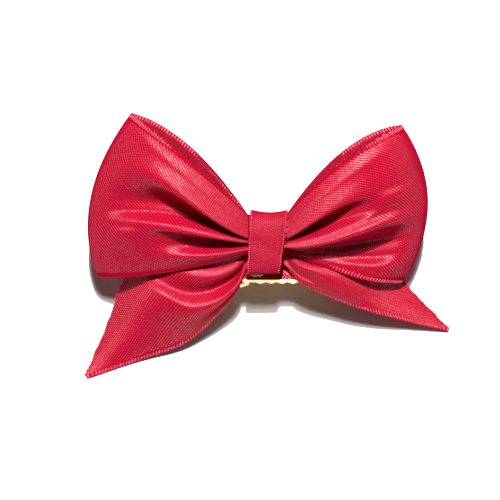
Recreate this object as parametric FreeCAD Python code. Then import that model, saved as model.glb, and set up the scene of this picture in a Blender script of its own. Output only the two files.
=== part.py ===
"""Satin ribbon hair bow on a sprung, toothed alligator clip.  Millimetres, +Z up.

The origin is the hair grip: the middle of the bite between the closed jaws, under the knot.
+X runs along the clip towards its tip.  +Y points to the tops of the loops.  The bow lies face
up, as on a table, and the plane of the knot and loops leans towards -Y by LEAN.
"""
import FreeCAD, Part
import math
import os

Vec = FreeCAD.Vector

# ---- driving dimensions ------------------------------------------------------------------------
LEAN = 25.0                    # degrees between the bow's plane and the clip
KNOT = Vec(0, 2.96, 8.9)       # middle of the knot

RIBBON = 0.3                   # thickness of every ribbon
KNOT_HALF_X = 4.7              # half of the knot's length under the band
KNOT_LOW, KNOT_HIGH = -2.9, 6.5      # bottom and top edge of a loop where it leaves the knot
FRONT_DEPTH, BACK_DEPTH, LAP_DEPTH = 2.1, 0.2, -0.4  # the loops' layers inside the knot
TAIL_DEPTH, TAIL_LOW, TAIL_HIGH = -1.45, -6.2, -1.8    # the tails' layer there, and its edges
LEFT_FOLD = ((-41.0, -9.5), (-43.6, 10.5), (-33.5, 31.2))    # bottom, middle and top of each
RIGHT_FOLD = ((33.8, -11.2), (40.0, 9.0), (33.4, 28.2))       # loop's outer fold
FRONT_SWELL = (1.0, 6.6, 9.0)  # how far a loop's front layer swells at its bottom, middle and top
BACK_SWELL = (-0.6, -2.7, -7.5)      # and its back layer
FRONT_RISE, BACK_RISE = 1.8, 4.2     # how far each layer's top edge bows upwards
BOTTOM_SAG = 1.2               # how far the bottom edge bows downwards
LEFT_DROOP = (5.0, 7.0)        # how far a loop's outer fold hangs back, at its bottom and top
RIGHT_DROOP = (7.0, 8.5)

BAND_WIDTH, BAND_SLANT = 8.6, 5.3    # width, and slant in degrees
BAND_HALF, BAND_FRONT, BAND_BACK = 7.6, 4.2, -2.8

PLATE = 0.5                    # sheet of the clip
UPPER_WIDTH, LOWER_WIDTH = 10.0, 7.0
UPPER_TOP = 2.7                # height of the upper jaw's top face
LOWER_BOTTOM = -2.7
TIP_X, PIVOT_X, LEVER_X = 15.0, -7.0, -30.0
TOOTH_PITCH, TOOTH_HEIGHT = 2.7, 1.2
TOOTH_START_X = -3.0
TOOTH_ROOT_Z = 1.0             # root of the upper jaw's teeth
LOWER_TOOTH_TOP_Z = 1.4
EAR_RADIUS, LOWER_EAR_RADIUS = 2.6, 2.0
PIN_RADIUS, PIN_HOLE_RADIUS = 0.75, 0.8
HEAD_RADIUS, HEAD_HEIGHT = 1.4, 0.5
LEVER_BEND_X, LEVER_ANGLE = -8.8, 20.0
LEVER_END_WIDTH = 6.4
# height of a table under the closed clip, which rests on its lever's end
TABLE_Z = LOWER_BOTTOM - (LEVER_BEND_X - LEVER_X) * math.tan(math.radians(LEVER_ANGLE))

COIL_RADIUS, COIL_WIRE, COIL_TURNS, COIL_PITCH = 1.15, 0.22, 5, 0.6
UPPER_LEG_ANGLE = 5.6
LEG_LENGTH = 8.0
LINING_WIDTH, LINING_END = 8.8, 2.0    # and how far it stops short of the lever's end
THREAD_RADIUS, THREAD_TURNS, THREAD_GAP = 0.2, 4, 0.1
THREAD_INSET, THREAD_CORNER = 0.75, 1.2    # the thread's path inside the band's outer face
BAND_CORNER = 1.8
SKIN = 0.05                    # clearance between pieces that lie on each other
FILLET_OVERLAP = 0.1           # how far a jaw's side plates run into its blade
TIP_CUT = 0.6                  # the toothed sides stop this far short of the tip
GLUE_X, GLUE_LOW, GLUE_HIGH = 3.6, -6.2, 0.2    # half length of the glue, and its edges up the bow
BEAD_RADIUS, BEAD_STRETCH = 0.9, (1.9, 0.55, 0.4)
BEAD_X, BEAD_Y = -3.0, -7.3    # the bead's place from the knot


def bow(x, v, n):
    """A point given along the bow's own plane: x, v up it and n out of its front."""
    a = math.radians(LEAN)
    return KNOT + Vec(x, v * math.cos(a) - n * math.sin(a), v * math.sin(a) + n * math.cos(a))


def ramp(f, a, b):
    return a + (b - a) * f


def curve3(t, a, b, c):
    """The parabola through a at t = 0, b at 0.5 and c at 1."""
    return a * (1 - t) * (1 - 2 * t) + b * 4 * t * (1 - t) + c * t * (2 * t - 1)


# ---- ribbons: a grid of points becomes a thin closed solid ---------------------------------------
def normal(grid, i, j):
    last_i, last_j = len(grid) - 1, len(grid[0]) - 1
    along = grid[min(i + 1, last_i)][j] - grid[max(i - 1, 0)][j]
    across = grid[i][min(j + 1, last_j)] - grid[i][max(j - 1, 0)]
    return along.cross(across).normalize()


def side(grid, offset):
    surface = Part.BSplineSurface()
    surface.interpolate([[grid[i][j] + normal(grid, i, j) * offset for j in range(len(grid[0]))]
                         for i in range(len(grid))])
    return surface


def border(surface):
    u0, u1, v0, v1 = surface.bounds()
    return [curve.toShape() for curve in (surface.uIso(u0), surface.uIso(u1),
                                          surface.vIso(v0), surface.vIso(v1))]


def smooth(rows, count):
    """More rows, evenly spread along smooth curves through the given ones."""
    columns = []
    for column in zip(*rows):
        curve = Part.BSplineCurve()
        curve.interpolate(list(column))
        first, last = curve.FirstParameter, curve.LastParameter
        columns.append([curve.value(ramp(k / (count - 1), first, last)) for k in range(count)])
    return [list(row) for row in zip(*columns)]


def sheet(grid, thickness=RIBBON):
    front, back = side(grid, thickness / 2), side(grid, -thickness / 2)
    faces = [front.toShape(), back.toShape()]
    faces += [Part.makeRuledSurface(a, b) for a, b in zip(border(front), border(back))]
    shell = Part.makeShell(faces)
    shell.sewShape()
    solid = Part.makeSolid(shell)
    if solid.Volume < 0:
        solid.reverse()
    return solid


# ---- the bow ----------------------------------------------------------------------------------------
def knot_row(x, depth, low=-4.6, high=6.0):
    return [bow(x, ramp(k / 6, low, high), depth) for k in range(7)]


def loop_row(fold, sign, reach, swell, rise, depth):
    """One line of points across a loop, from its bottom edge to its top edge."""
    droop = LEFT_DROOP if sign < 0 else RIGHT_DROOP
    row = []
    for k in range(7):
        t = k / 6
        x = ramp(reach, sign * KNOT_HALF_X, curve3(t, *(point[0] for point in fold)))
        v = ramp(reach, ramp(t, KNOT_LOW, KNOT_HIGH), curve3(t, *(point[1] for point in fold)))
        lift = (rise * t - BOTTOM_SAG * (1 - t)) * 4 * reach * (1 - reach)
        n = ramp(reach, depth, 0) + 2 * curve3(t, *swell) * reach * math.sqrt(1 - reach)
        n -= ramp(t, *droop) * reach ** 4
        row.append(bow(x, v + lift, n))
    return row


def front_layer(fold, sign, reaches):
    return [loop_row(fold, sign, reach, FRONT_SWELL, FRONT_RISE, FRONT_DEPTH) for reach in reaches]


def back_layer(fold, sign, reaches, depth):
    return [loop_row(fold, sign, reach, BACK_SWELL, BACK_RISE, depth) for reach in reaches]


def loop_ribbon():
    """One strip: its ends lap behind the knot, and it makes the two loops."""
    out = [math.sin(math.pi / 2 * k / 8) ** 1.5 for k in range(9)]
    back = out[::-1]
    grid = [knot_row(3.0, LAP_DEPTH), knot_row(-1.0, LAP_DEPTH)]
    grid += back_layer(LEFT_FOLD, -1, out[:-1], LAP_DEPTH)
    grid += front_layer(LEFT_FOLD, -1, back)
    grid += [knot_row(0.0, FRONT_DEPTH)]
    grid += front_layer(RIGHT_FOLD, 1, out)
    grid += back_layer(RIGHT_FOLD, 1, back[1:], BACK_DEPTH)
    grid += [knot_row(1.0, BACK_DEPTH), knot_row(-3.0, BACK_DEPTH)]
    return sheet(smooth(grid, 81))


def fall_row(low, middle, high):
    """A line across a tail, from its lower edge; heights are above the table."""
    points = [[curve3(k / 6, a, b, c) for a, b, c in zip(low, middle, high)] for k in range(7)]
    return [Vec(x, KNOT.y + y, TABLE_Z + z) for x, y, z in points]


def tail_ribbon():
    """One strip behind the knot; each half falls over the clip to a tip on the table."""
    grid = [fall_row((-45.2, -29.2, 0.3), (-38.3, -14.2, 3.4), (-31.5, 3.0, 14.3)),
            fall_row((-30.5, -24.6, 1.0), (-29.0, -12.2, 11.8), (-26.0, 0.5, 14.5)),
            fall_row((-18.6, -20.7, 4.2), (-18.5, -10.8, 13.3), (-17.5, -1.0, 14.5)),
            fall_row((-8.4, -12.2, 11.8), (-8.8, -6.8, 14.5), (-8.8, -1.8, 15.0))]
    grid += [knot_row(x, TAIL_DEPTH, TAIL_LOW, TAIL_HIGH) for x in (-4.4, 0.0, 4.4)]
    grid += [fall_row((9.0, -9.6, 13.6), (9.0, -5.8, 14.7), (8.8, -1.8, 15.2)),
             fall_row((22.3, -14.0, 9.2), (20.6, -8.2, 13.0), (17.5, -1.4, 14.4)),
             fall_row((45.2, -16.9, 0.3), (36.8, -7.8, 3.3), (27.5, 1.0, 7.2))]
    return sheet(smooth(grid, 25))


def ring_profile(half, front, back, corner):
    """The knot's section across the bow: a closed rectangle with round corners."""
    middles = [(half - corner, front - corner), (-half + corner, front - corner),
               (-half + corner, back + corner), (half - corner, back + corner)]
    edges, ends = [], []
    for quarter, (v, n) in enumerate(middles):
        angles = [math.radians(90 * quarter + 45 * f) for f in range(3)]
        spots = [Vec(0, v + corner * math.cos(a), n + corner * math.sin(a)) for a in angles]
        edges.append(Part.Arc(*spots).toShape())
        ends.append((spots[0], spots[2]))
    for k in range(4):
        edges.insert(2 * k + 1, Part.makeLine(ends[k][1], ends[(k + 1) % 4][0]))
    return Part.Wire(edges)


def place_on_bow(shape):
    shape.rotate(Vec(0, 0, 0), Vec(1, 0, 0), LEAN)
    shape.translate(KNOT)
    return shape


def centre_band():
    outer = Part.Face(ring_profile(BAND_HALF, BAND_FRONT, BAND_BACK, BAND_CORNER))
    inner = Part.Face(ring_profile(BAND_HALF - RIBBON, BAND_FRONT - RIBBON, BAND_BACK + RIBBON,
                                   BAND_CORNER - RIBBON))
    ring = outer.cut(inner)
    band = ring.extrude(Vec(BAND_WIDTH, 0, 0))
    band.translate(Vec(-BAND_WIDTH / 2, 0, 0))
    band.rotate(Vec(0, 0, 0), Vec(0, 0, 1), -BAND_SLANT)
    return place_on_bow(band)


def binding_thread():
    """Turns of thread that hold the gathered ribbons together under the band."""
    turns = []
    for k in range(THREAD_TURNS):
        path = ring_profile(BAND_HALF - THREAD_INSET, BAND_FRONT - THREAD_INSET,
                            BAND_BACK + THREAD_INSET, THREAD_CORNER)
        start = path.Edges[0].valueAt(path.Edges[0].FirstParameter)
        tangent = path.Edges[0].tangentAt(path.Edges[0].FirstParameter)
        circle = Part.Wire(Part.makeCircle(THREAD_RADIUS, start, tangent))
        turn = path.makePipeShell([circle], True, True)
        pitch = 2 * THREAD_RADIUS + THREAD_GAP
        turn.translate(Vec((k - (THREAD_TURNS - 1) / 2) * pitch, 0, 0))
        turns.append(place_on_bow(turn))
    return Part.makeCompound(turns)


def glue():
    """A wedge of set glue between the clip's lining and the back of the band, and one bead."""
    low, high = (bow(-GLUE_X, v, BAND_BACK - 3 * SKIN) for v in (GLUE_LOW, GLUE_HIGH))
    floor = UPPER_TOP + RIBBON + 3 * SKIN
    corners = [Vec(-GLUE_X, low.y, floor), Vec(-GLUE_X, high.y, floor), high,
               Vec(-GLUE_X, low.y, max(low.z, floor + 2 * SKIN))]
    wedge = Part.Face(Part.makePolygon(corners + corners[:1])).extrude(Vec(2 * GLUE_X, 0, 0))
    stretch = FreeCAD.Matrix()
    stretch.scale(*BEAD_STRETCH)
    bead = Part.makeSphere(BEAD_RADIUS).transformGeometry(stretch)
    bead.translate(Vec(BEAD_X, KNOT.y + BEAD_Y, floor + BEAD_RADIUS * BEAD_STRETCH[2]))
    return Part.makeCompound([wedge, bead])


# ---- the clip ----------------------------------------------------------------------------------------
def wavy_edge(root_z, height, direction):
    """Points of a toothed flange's free edge, from the teeth's start to the tip."""
    count = int((TIP_X - TIP_CUT - TOOTH_START_X) / TOOTH_PITCH)
    points = []
    for k in range(count * 4 + 1):
        x = TOOTH_START_X + k * TOOTH_PITCH / 4
        wave = (1 - math.cos(k * math.pi / 2)) / 2
        points.append(Vec(x, 0, root_z + direction * height * wave))
    curve = Part.BSplineCurve()
    curve.interpolate(points)
    return curve.toShape(), points[0], points[-1]


def flange(base_z, root_z, height, direction, start_x):
    """One toothed side of a jaw, a thin plate in the XZ plane."""
    edge, first, last = wavy_edge(root_z, height, direction)
    a, b = Vec(start_x, 0, root_z), Vec(start_x, 0, base_z)
    c, d = Vec(TIP_X - TIP_CUT, 0, base_z), Vec(TIP_X - TIP_CUT, 0, root_z)
    lines = [Part.makeLine(last, d), Part.makeLine(d, c), Part.makeLine(c, b),
             Part.makeLine(b, a), Part.makeLine(a, first)]
    face = Part.Face(Part.Wire([edge] + lines))
    return face.extrude(Vec(0, PLATE, 0))


def ear(radius, base_z):
    """One side's lug around the pivot, up or down to the plate at base_z."""
    disc = Part.makeCylinder(radius, PLATE, Vec(PIVOT_X, 0, 0), Vec(0, 1, 0))
    low, high = min(0, base_z), max(0, base_z)
    web = Part.makeBox(2 * radius, PLATE, high - low, Vec(PIVOT_X - radius, 0, low))
    return disc.fuse(web)


def plate_outline(half, end_half, end_x, z):
    """A flat blade with a round tip, narrowing to its lever end."""
    tip = TIP_X - half
    round_tip = Part.Arc(Vec(tip, -half, z), Vec(TIP_X, 0, z), Vec(tip, half, z)).toShape()
    back = end_x + end_half
    round_end = Part.Arc(Vec(back, end_half, z), Vec(end_x, 0, z), Vec(back, -end_half, z)).toShape()
    shoulder = Vec(PIVOT_X - EAR_RADIUS, half, z), Vec(PIVOT_X - EAR_RADIUS, -half, z)
    lines = [Part.makeLine(Vec(tip, half, z), shoulder[0]),
             Part.makeLine(shoulder[0], Vec(back, end_half, z)), round_end,
             Part.makeLine(Vec(back, -end_half, z), shoulder[1]),
             Part.makeLine(shoulder[1], Vec(tip, -half, z))]
    return Part.Face(Part.Wire([round_tip] + lines))


def two_sides(half, pieces):
    """Copies of side plates placed inside both edges of a jaw."""
    placed = []
    for y in (-half, half - PLATE):
        for piece in pieces:
            copy = piece.copy()
            copy.translate(Vec(0, y, 0))
            placed.append(copy)
    return placed


def pin_hole():
    return Part.makeCylinder(PIN_HOLE_RADIUS, 2 * UPPER_WIDTH, Vec(PIVOT_X, -UPPER_WIDTH, 0), Vec(0, 1, 0))


def within_outline(sides, half, end_half):
    """Side plates trimmed to the blade's round tip."""
    face = plate_outline(half, end_half, LEVER_X, -2 * UPPER_WIDTH)
    return [piece.common(face.extrude(Vec(0, 0, 4 * UPPER_WIDTH))) for piece in sides]


def upper_jaw():
    half = UPPER_WIDTH / 2
    base = UPPER_TOP - PLATE
    blade = plate_outline(half, LEVER_END_WIDTH / 2, LEVER_X, base).extrude(Vec(0, 0, PLATE))
    top = base + FILLET_OVERLAP
    sides = two_sides(half, [flange(top, TOOTH_ROOT_Z, TOOTH_HEIGHT, -1, PIVOT_X), ear(EAR_RADIUS, top)])
    jaw = blade.multiFuse(within_outline(sides, half, half))
    return jaw.cut(pin_hole()).removeSplitter()


def lower_jaw():
    half = LOWER_WIDTH / 2
    base = LOWER_BOTTOM + PLATE - FILLET_OVERLAP
    blade = plate_outline(half, half - 1, LEVER_BEND_X - half, LOWER_BOTTOM)
    blade = blade.extrude(Vec(0, 0, PLATE))
    front = Part.makeBox(TIP_X - LEVER_BEND_X, 2 * half, PLATE, Vec(LEVER_BEND_X, -half, LOWER_BOTTOM))
    blade = blade.common(front)
    root = LOWER_TOOTH_TOP_Z - TOOTH_HEIGHT
    sides = two_sides(half, [flange(base, root, TOOTH_HEIGHT, 1, PIVOT_X), ear(LOWER_EAR_RADIUS, base)])
    jaw = blade.multiFuse(within_outline(sides, half, half) + [lever(half)])
    return jaw.cut(pin_hole()).removeSplitter()


def lever(half):
    """The lower jaw's thumb lever, bent down from the blade with a round end."""
    length = (LEVER_BEND_X - LEVER_X) / math.cos(math.radians(LEVER_ANGLE))
    end_half = LEVER_END_WIDTH / 2
    tip = -length + end_half
    arc = Part.Arc(Vec(tip, -end_half, 0), Vec(-length, 0, 0), Vec(tip, end_half, 0)).toShape()
    root = PLATE / 2
    lines = [Part.makeLine(Vec(tip, end_half, 0), Vec(root, half, 0)),
             Part.makeLine(Vec(root, half, 0), Vec(root, -half, 0)),
             Part.makeLine(Vec(root, -half, 0), Vec(tip, -end_half, 0))]
    blade = Part.Face(Part.Wire([arc] + lines)).extrude(Vec(0, 0, PLATE))
    blade.rotate(Vec(0, 0, 0), Vec(0, 1, 0), -LEVER_ANGLE)
    blade.translate(Vec(LEVER_BEND_X, 0, LOWER_BOTTOM))
    return blade


def pivot_pin():
    half = UPPER_WIDTH / 2 + SKIN
    axis = Vec(0, 1, 0)
    pin = Part.makeCylinder(PIN_RADIUS, 2 * half, Vec(PIVOT_X, -half, 0), axis)
    heads = [Part.makeCylinder(HEAD_RADIUS, HEAD_HEIGHT, Vec(PIVOT_X, y, 0), axis)
             for y in (-half - HEAD_HEIGHT, half)]
    return pin.multiFuse(heads)


def torsion_spring():
    """A coil on the pin; one leg pushes up under the upper lever, the other down on the lower."""
    length = COIL_TURNS * COIL_PITCH
    rise, fall = math.radians(UPPER_LEG_ANGLE), math.radians(LEVER_ANGLE)
    upper = Vec(-math.cos(rise), 0, math.sin(rise))
    lower = Vec(-math.cos(fall), 0, -math.sin(fall))
    start = math.pi / 2 - rise
    turn = -(start + math.pi / 2 - fall + 2 * math.pi * (COIL_TURNS - 1))
    steps = COIL_TURNS * 12
    coil = []
    for k in range(steps + 1):
        angle = start + turn * k / steps
        coil.append(Vec(PIVOT_X + COIL_RADIUS * math.cos(angle), length * (k / steps - 0.5),
                        COIL_RADIUS * math.sin(angle)))
    spots = (1.0, 0.75, 0.5, 0.25)
    path = [coil[0] + upper * LEG_LENGTH * f for f in spots] + coil
    path += [coil[-1] + lower * LEG_LENGTH * f for f in reversed(spots)]
    curve = Part.BSplineCurve()
    curve.interpolate(path)
    edge = curve.toShape()
    circle = Part.makeCircle(COIL_WIRE, path[0], edge.tangentAt(edge.FirstParameter))
    return Part.Wire(edge).makePipeShell([Part.Wire(circle)], True, False)


def clip_lining():
    """Ribbon glued along the top of the upper jaw."""
    half = LINING_WIDTH / 2
    z = UPPER_TOP + SKIN
    inset = (UPPER_WIDTH - LINING_WIDTH) / 2
    lining = plate_outline(half, LEVER_END_WIDTH / 2 - inset, LEVER_X + LINING_END, z)
    lining = lining.extrude(Vec(0, 0, RIBBON))
    keep = Part.makeBox(TIP_X - TIP_CUT - LEVER_X, 2 * half, 2 * RIBBON, Vec(LEVER_X, -half, z))
    return lining.common(keep)


NODES = {
    "loop_ribbon": loop_ribbon, "tail_ribbon": tail_ribbon, "centre_band": centre_band,
    "binding_thread": binding_thread, "glue": glue, "clip_lining": clip_lining,
    "upper_jaw": upper_jaw, "lower_jaw": lower_jaw, "pivot_pin": pivot_pin,
    "torsion_spring": torsion_spring,
}

os.makedirs("parts", exist_ok=True)
for node, make in NODES.items():
    make().exportStep("parts/" + node + ".step")
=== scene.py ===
"""Satin hair bow on a toothed clip: the visual model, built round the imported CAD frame."""
import math

import bpy
import numpy as np
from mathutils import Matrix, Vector


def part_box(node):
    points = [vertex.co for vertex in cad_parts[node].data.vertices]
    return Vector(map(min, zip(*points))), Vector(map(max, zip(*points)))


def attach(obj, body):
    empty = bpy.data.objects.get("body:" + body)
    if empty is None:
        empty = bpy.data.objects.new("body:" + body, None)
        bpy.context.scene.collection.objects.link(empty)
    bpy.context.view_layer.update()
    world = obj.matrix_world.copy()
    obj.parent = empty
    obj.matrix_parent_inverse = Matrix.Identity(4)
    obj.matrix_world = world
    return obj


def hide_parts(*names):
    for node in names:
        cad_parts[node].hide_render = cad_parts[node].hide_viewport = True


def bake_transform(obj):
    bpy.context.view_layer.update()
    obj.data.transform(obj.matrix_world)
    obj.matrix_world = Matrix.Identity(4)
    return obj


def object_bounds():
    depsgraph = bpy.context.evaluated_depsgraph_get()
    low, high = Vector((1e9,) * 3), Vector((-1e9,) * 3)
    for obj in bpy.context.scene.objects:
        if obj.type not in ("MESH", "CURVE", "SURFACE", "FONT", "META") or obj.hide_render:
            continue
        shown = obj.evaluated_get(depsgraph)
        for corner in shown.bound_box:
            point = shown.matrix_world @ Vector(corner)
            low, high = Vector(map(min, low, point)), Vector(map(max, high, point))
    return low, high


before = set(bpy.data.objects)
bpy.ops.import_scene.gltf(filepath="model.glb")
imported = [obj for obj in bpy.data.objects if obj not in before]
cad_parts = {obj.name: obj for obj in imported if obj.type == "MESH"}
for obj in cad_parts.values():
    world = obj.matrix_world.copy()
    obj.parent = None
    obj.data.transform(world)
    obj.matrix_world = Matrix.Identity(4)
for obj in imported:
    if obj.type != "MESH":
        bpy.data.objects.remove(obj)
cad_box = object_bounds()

rng = np.random.default_rng(7)
MM = 0.001  # every length below is in millimetres unless it says metres

# ---- the bow's own plane: x to the right, v up it, n out of its face ----
LEAN = math.radians(25.0)
RIGHT = np.array([1.0, 0.0, 0.0])
UP = np.array([0.0, math.cos(LEAN), math.sin(LEAN)])
OUT = np.array([0.0, -math.sin(LEAN), math.cos(LEAN)])
BAND_MIDDLE_N = 0.7  # the band's middle stands this far in front of the knot's
band_low, band_high = (np.array(corner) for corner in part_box("centre_band"))
KNOT = (band_low + band_high) / 2 / MM - OUT * BAND_MIDDLE_N
TABLE = min(np.array(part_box("lower_jaw")[0])[2], cad_box[0][2]) / MM

# ---- ribbon ------------------------------------
RIBBON_WIDTH = 38.0
HALF_THICK = 0.11
SELVEDGE = 1.25  # width of the corded edge
GROOVE_DEPTH, GROOVE_WIDTH = 0.06, 0.14  # the sewn groove beside the corded edge
LINE_HEIGHT, LINE_WIDTH = 0.03, 0.12  # the raised line inside the groove
LINE_PLACE = 1.75  # how far in that line lies, in edge widths
EDGE_ZONE, EDGE_STEP = 2.6, 0.16  # mesh columns are this close near the edges
MIDDLE_STEP = 0.42  # and this close between them
WEAVE_SPREAD = 5.0  # the weave is evened out over about this width

# ---- thread bars and loose fibres --------------
BAR_PITCH = 0.8
BAR_INSET, BAR_HALF_LENGTH = 0.46, 0.54  # a bar's middle and half length, in edge widths
BAR_HALF_WIDTH = 0.37  # in pitches
BAR_FLAT, BAR_PROUD = 0.6, 0.12  # a sunken bar's height in half thicknesses, and a proud one's extra
BAR_SPREAD, BAR_TILT = 0.10, 0.12  # how much the bars vary in size and in lean
INWARD_COLUMNS = 5  # the ribbon's inward direction is taken over these columns
FIBRE_RADII, FIBRE_POINTS, FIBRE_SIDES = (0.075, 0.05), 6, 5


def bow(x, v, n):
    """Points of the frame, in millimetres, given in the bow's own plane."""
    x, v, n = (np.asarray(a, float)[..., None] for a in (x, v, n))
    return KNOT + x * RIGHT + v * UP + n * OUT


def ease(f):
    f = np.clip(f, 0, 1)
    return f * f * (3 - 2 * f)


def through3(t, a, b, c):
    """The parabola through a at 0, b at one half and c at 1."""
    return a * (1 - t) * (1 - 2 * t) + b * 4 * t * (1 - t) + c * t * (2 * t - 1)


def through4(f, a, b, c, d):
    """The cubic through a at 0, b at one third, c at two thirds and d at 1."""
    return (a * (1 - 3 * f) * (2 - 3 * f) * (1 - f) + 9 * b * f * (2 - 3 * f) * (1 - f)
            + 9 * c * f * (3 * f - 1) * (1 - f) + d * f * (3 * f - 1) * (3 * f - 2)) / 2


def steps_between(places, heights, t):
    """A height across a ribbon that eases from each place's height to the next one's."""
    h = np.full_like(t, heights[0])
    for k in range(len(places) - 1):
        gap = max(places[k + 1] - places[k], 1e-3)
        h = h + (heights[k + 1] - heights[k]) * ease((t - places[k]) / gap)
    return h


def waves(terms, a, b=0.0):
    """A sum of sine waves; each term is a height, turns along a and along b, and a start."""
    return sum(height * np.sin(p * a + q * b + start) for height, p, q, start in terms)


def catmull(points, count, closed=False, fineness=40):
    """Evenly spaced points on a smooth curve through the given ones (any trailing shape)."""
    p = np.asarray(points, float)
    if closed:
        p = np.concatenate([p[-1:], p, p[:2]])
    else:
        p = np.concatenate([2 * p[:1] - p[1:2], p, 2 * p[-1:] - p[-2:-1]])
    spans = len(p) - 3
    s = np.linspace(0, spans, fineness * spans + 1)
    i = np.minimum(s.astype(int), spans - 1)
    f = (s - i).reshape((-1,) + (1,) * (p.ndim - 1))
    a, b, c, d = p[i], p[i + 1], p[i + 2], p[i + 3]
    fine = 0.5 * (2 * b + (c - a) * f + (2 * a - 5 * b + 4 * c - d) * f**2 + (3 * b - a - 3 * c + d) * f**3)
    flat = fine.reshape(len(fine), -1)
    length = lengths(flat[:, None])[:, 0]
    want = np.linspace(0, length[-1], count)
    out = np.stack([np.interp(want, length, column) for column in flat.T], axis=1)
    return out.reshape((count,) + p.shape[1:])


# ---- meshes ------------------------------------
def make_object(name, verts, faces, material, body, slot, weave=None, grain=None, from_end=None):
    """A piece from millimetre vertices, on a body (None if it is blended), with its weave's places."""
    mesh = bpy.data.meshes.new(name)
    mesh.from_pydata([tuple(v) for v in (np.asarray(verts) * MM).tolist()], [], faces)
    mesh.update()
    mesh.polygons.foreach_set("use_smooth", [True] * len(mesh.polygons))
    for layer_name, kind, field, values in (("weave", "FLOAT_VECTOR", "vector", weave),
                                            ("grain", "FLOAT_VECTOR", "vector", grain),
                                            ("from_end", "FLOAT", "value", from_end)):
        if values is not None:
            layer = mesh.attributes.new(layer_name, kind, "POINT")
            layer.data.foreach_set(field, np.asarray(values, np.float32).ravel())
    mesh.materials.append(material)
    obj = bpy.data.objects.new(name, mesh)
    bpy.context.collection.objects.link(obj)
    if body:
        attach(obj, body)
    return obj


def merge(parts):
    """One list of vertices and one of faces from several."""
    verts, faces, start = [], [], 0
    for part_verts, part_faces in parts:
        verts.append(part_verts)
        faces += [tuple(k + start for k in face) for face in part_faces]
        start += len(part_verts)
    return np.concatenate(verts), faces


def normals(grid):
    along, across = np.gradient(grid, axis=0), np.gradient(grid, axis=1)
    n = np.cross(along, across)
    return n / np.maximum(np.linalg.norm(n, axis=2, keepdims=True), 1e-9)


def lengths(grid):
    """Distance along each column of a grid from its first row."""
    steps = np.linalg.norm(np.diff(grid, axis=0), axis=2)
    return np.concatenate([np.zeros((1, grid.shape[1])), np.cumsum(steps, axis=0)])


def grid_faces(rows, columns, start, flip, wrap):
    r = np.arange(rows if wrap else rows - 1)[:, None]
    c = np.arange(columns - 1)[None, :]
    r2 = (r + 1) % rows
    quad = np.stack([r * columns + c, r2 * columns + c, r2 * columns + c + 1, r * columns + c + 1], -1)
    quad = quad.reshape(-1, 4) + start
    return (quad[:, ::-1] if flip else quad).tolist()


def wall_faces(pairs, count, flip):
    """Faces that join front points to the back points under them, count places later."""
    quads = [[a, b, b + count, a + count] for a, b in pairs]
    return quads if flip else [quad[::-1] for quad in quads]


def side_columns(width):
    """Positions across a ribbon: fine near the edges, where the stitching is."""
    edge = np.arange(0, EDGE_ZONE, EDGE_STEP)
    span = width - 2 * EDGE_ZONE
    middle = np.linspace(EDGE_ZONE, width - EDGE_ZONE, max(4, int(span / MIDDLE_STEP)))
    return np.concatenate([edge, middle, width - edge[::-1]]) / width


def ribbon_thickness(t, width, edge):
    """Half thickness across a ribbon: a corded selvedge, then a sewn groove and a raised line."""
    d = np.minimum(t, 1 - t) * width
    groove = -GROOVE_DEPTH * np.exp(-((d - edge) / GROOVE_WIDTH) ** 2)
    line = LINE_HEIGHT * np.exp(-((d - edge * LINE_PLACE) / LINE_WIDTH) ** 2)
    return HALF_THICK + groove + line


def even_out(t, width):
    """Weights that average values across a ribbon, so that folds don't ripple its weave."""
    near = np.exp(-((t[:, None] - t[None, :]) * width / WEAVE_SPREAD) ** 2) * np.gradient(t)[:, None]
    return near / near.sum(axis=0)


def ribbon(name, grid, t, width, material, wrap=False, edge=SELVEDGE, middle=0):
    """A closed ribbon of real thickness from its middle surface, rows along and columns across."""
    rows, columns = grid.shape[:2]
    n = normals(grid)
    if wrap:
        doubled = np.concatenate([grid[-2:], grid, grid[:2]])
        n = normals(doubled)[2:-2]
    half = ribbon_thickness(t, width, edge)[None, :, None]
    front, back = grid + n * half, grid - n * half
    along = lengths(grid)
    from_end = np.minimum(along, along[-1:] - along)
    along = (along - along[middle:middle + 1]) @ even_out(t, width)
    weave = np.zeros((2, rows, columns, 3))
    weave[..., 0] = along[None]
    weave[..., 1] = (t * width)[None, None, :]
    weave[1, ..., 2] = 1.0
    count = rows * columns
    faces = grid_faces(rows, columns, 0, False, wrap) + grid_faces(rows, columns, count, True, wrap)
    for column, flip in ((0, True), (columns - 1, False)):
        last = rows if wrap else rows - 1
        faces += wall_faces([(r * columns + column, ((r + 1) % rows) * columns + column)
                             for r in range(last)], count, flip)
    if not wrap:
        for row, flip in ((0, False), (rows - 1, True)):
            start = row * columns
            faces += wall_faces([(start + c, start + c + 1) for c in range(columns - 1)], count, flip)
    verts = np.concatenate([front.reshape(-1, 3), back.reshape(-1, 3)])
    grain = np.gradient(grid, axis=0)
    grain /= np.maximum(np.linalg.norm(grain, axis=2, keepdims=True), 1e-9)
    return make_object(name, verts, faces, material, "bow", "satin", weave.reshape(-1, 3),
                       np.stack([grain, grain]), np.stack([from_end, from_end]))


def unit_ball(segments=8, rings=5):
    """Vertices and faces of a ball of radius 1, to be stretched and bent into shape."""
    verts = [(0, 0, 1)]
    for r in range(1, rings):
        a = math.pi * r / rings
        for s in range(segments):
            b = 2 * math.pi * s / segments
            verts.append((math.sin(a) * math.cos(b), math.sin(a) * math.sin(b), math.cos(a)))
    verts.append((0, 0, -1))
    faces = [(0, 1 + s, 1 + (s + 1) % segments) for s in range(segments)]
    for r in range(rings - 2):
        for s in range(segments):
            a, b = 1 + r * segments + s, 1 + r * segments + (s + 1) % segments
            faces.append((a, a + segments, b + segments, b))
    base = 1 + (rings - 2) * segments
    faces += [(base + s, len(verts) - 1, base + (s + 1) % segments) for s in range(segments)]
    return np.array(verts), faces


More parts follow.
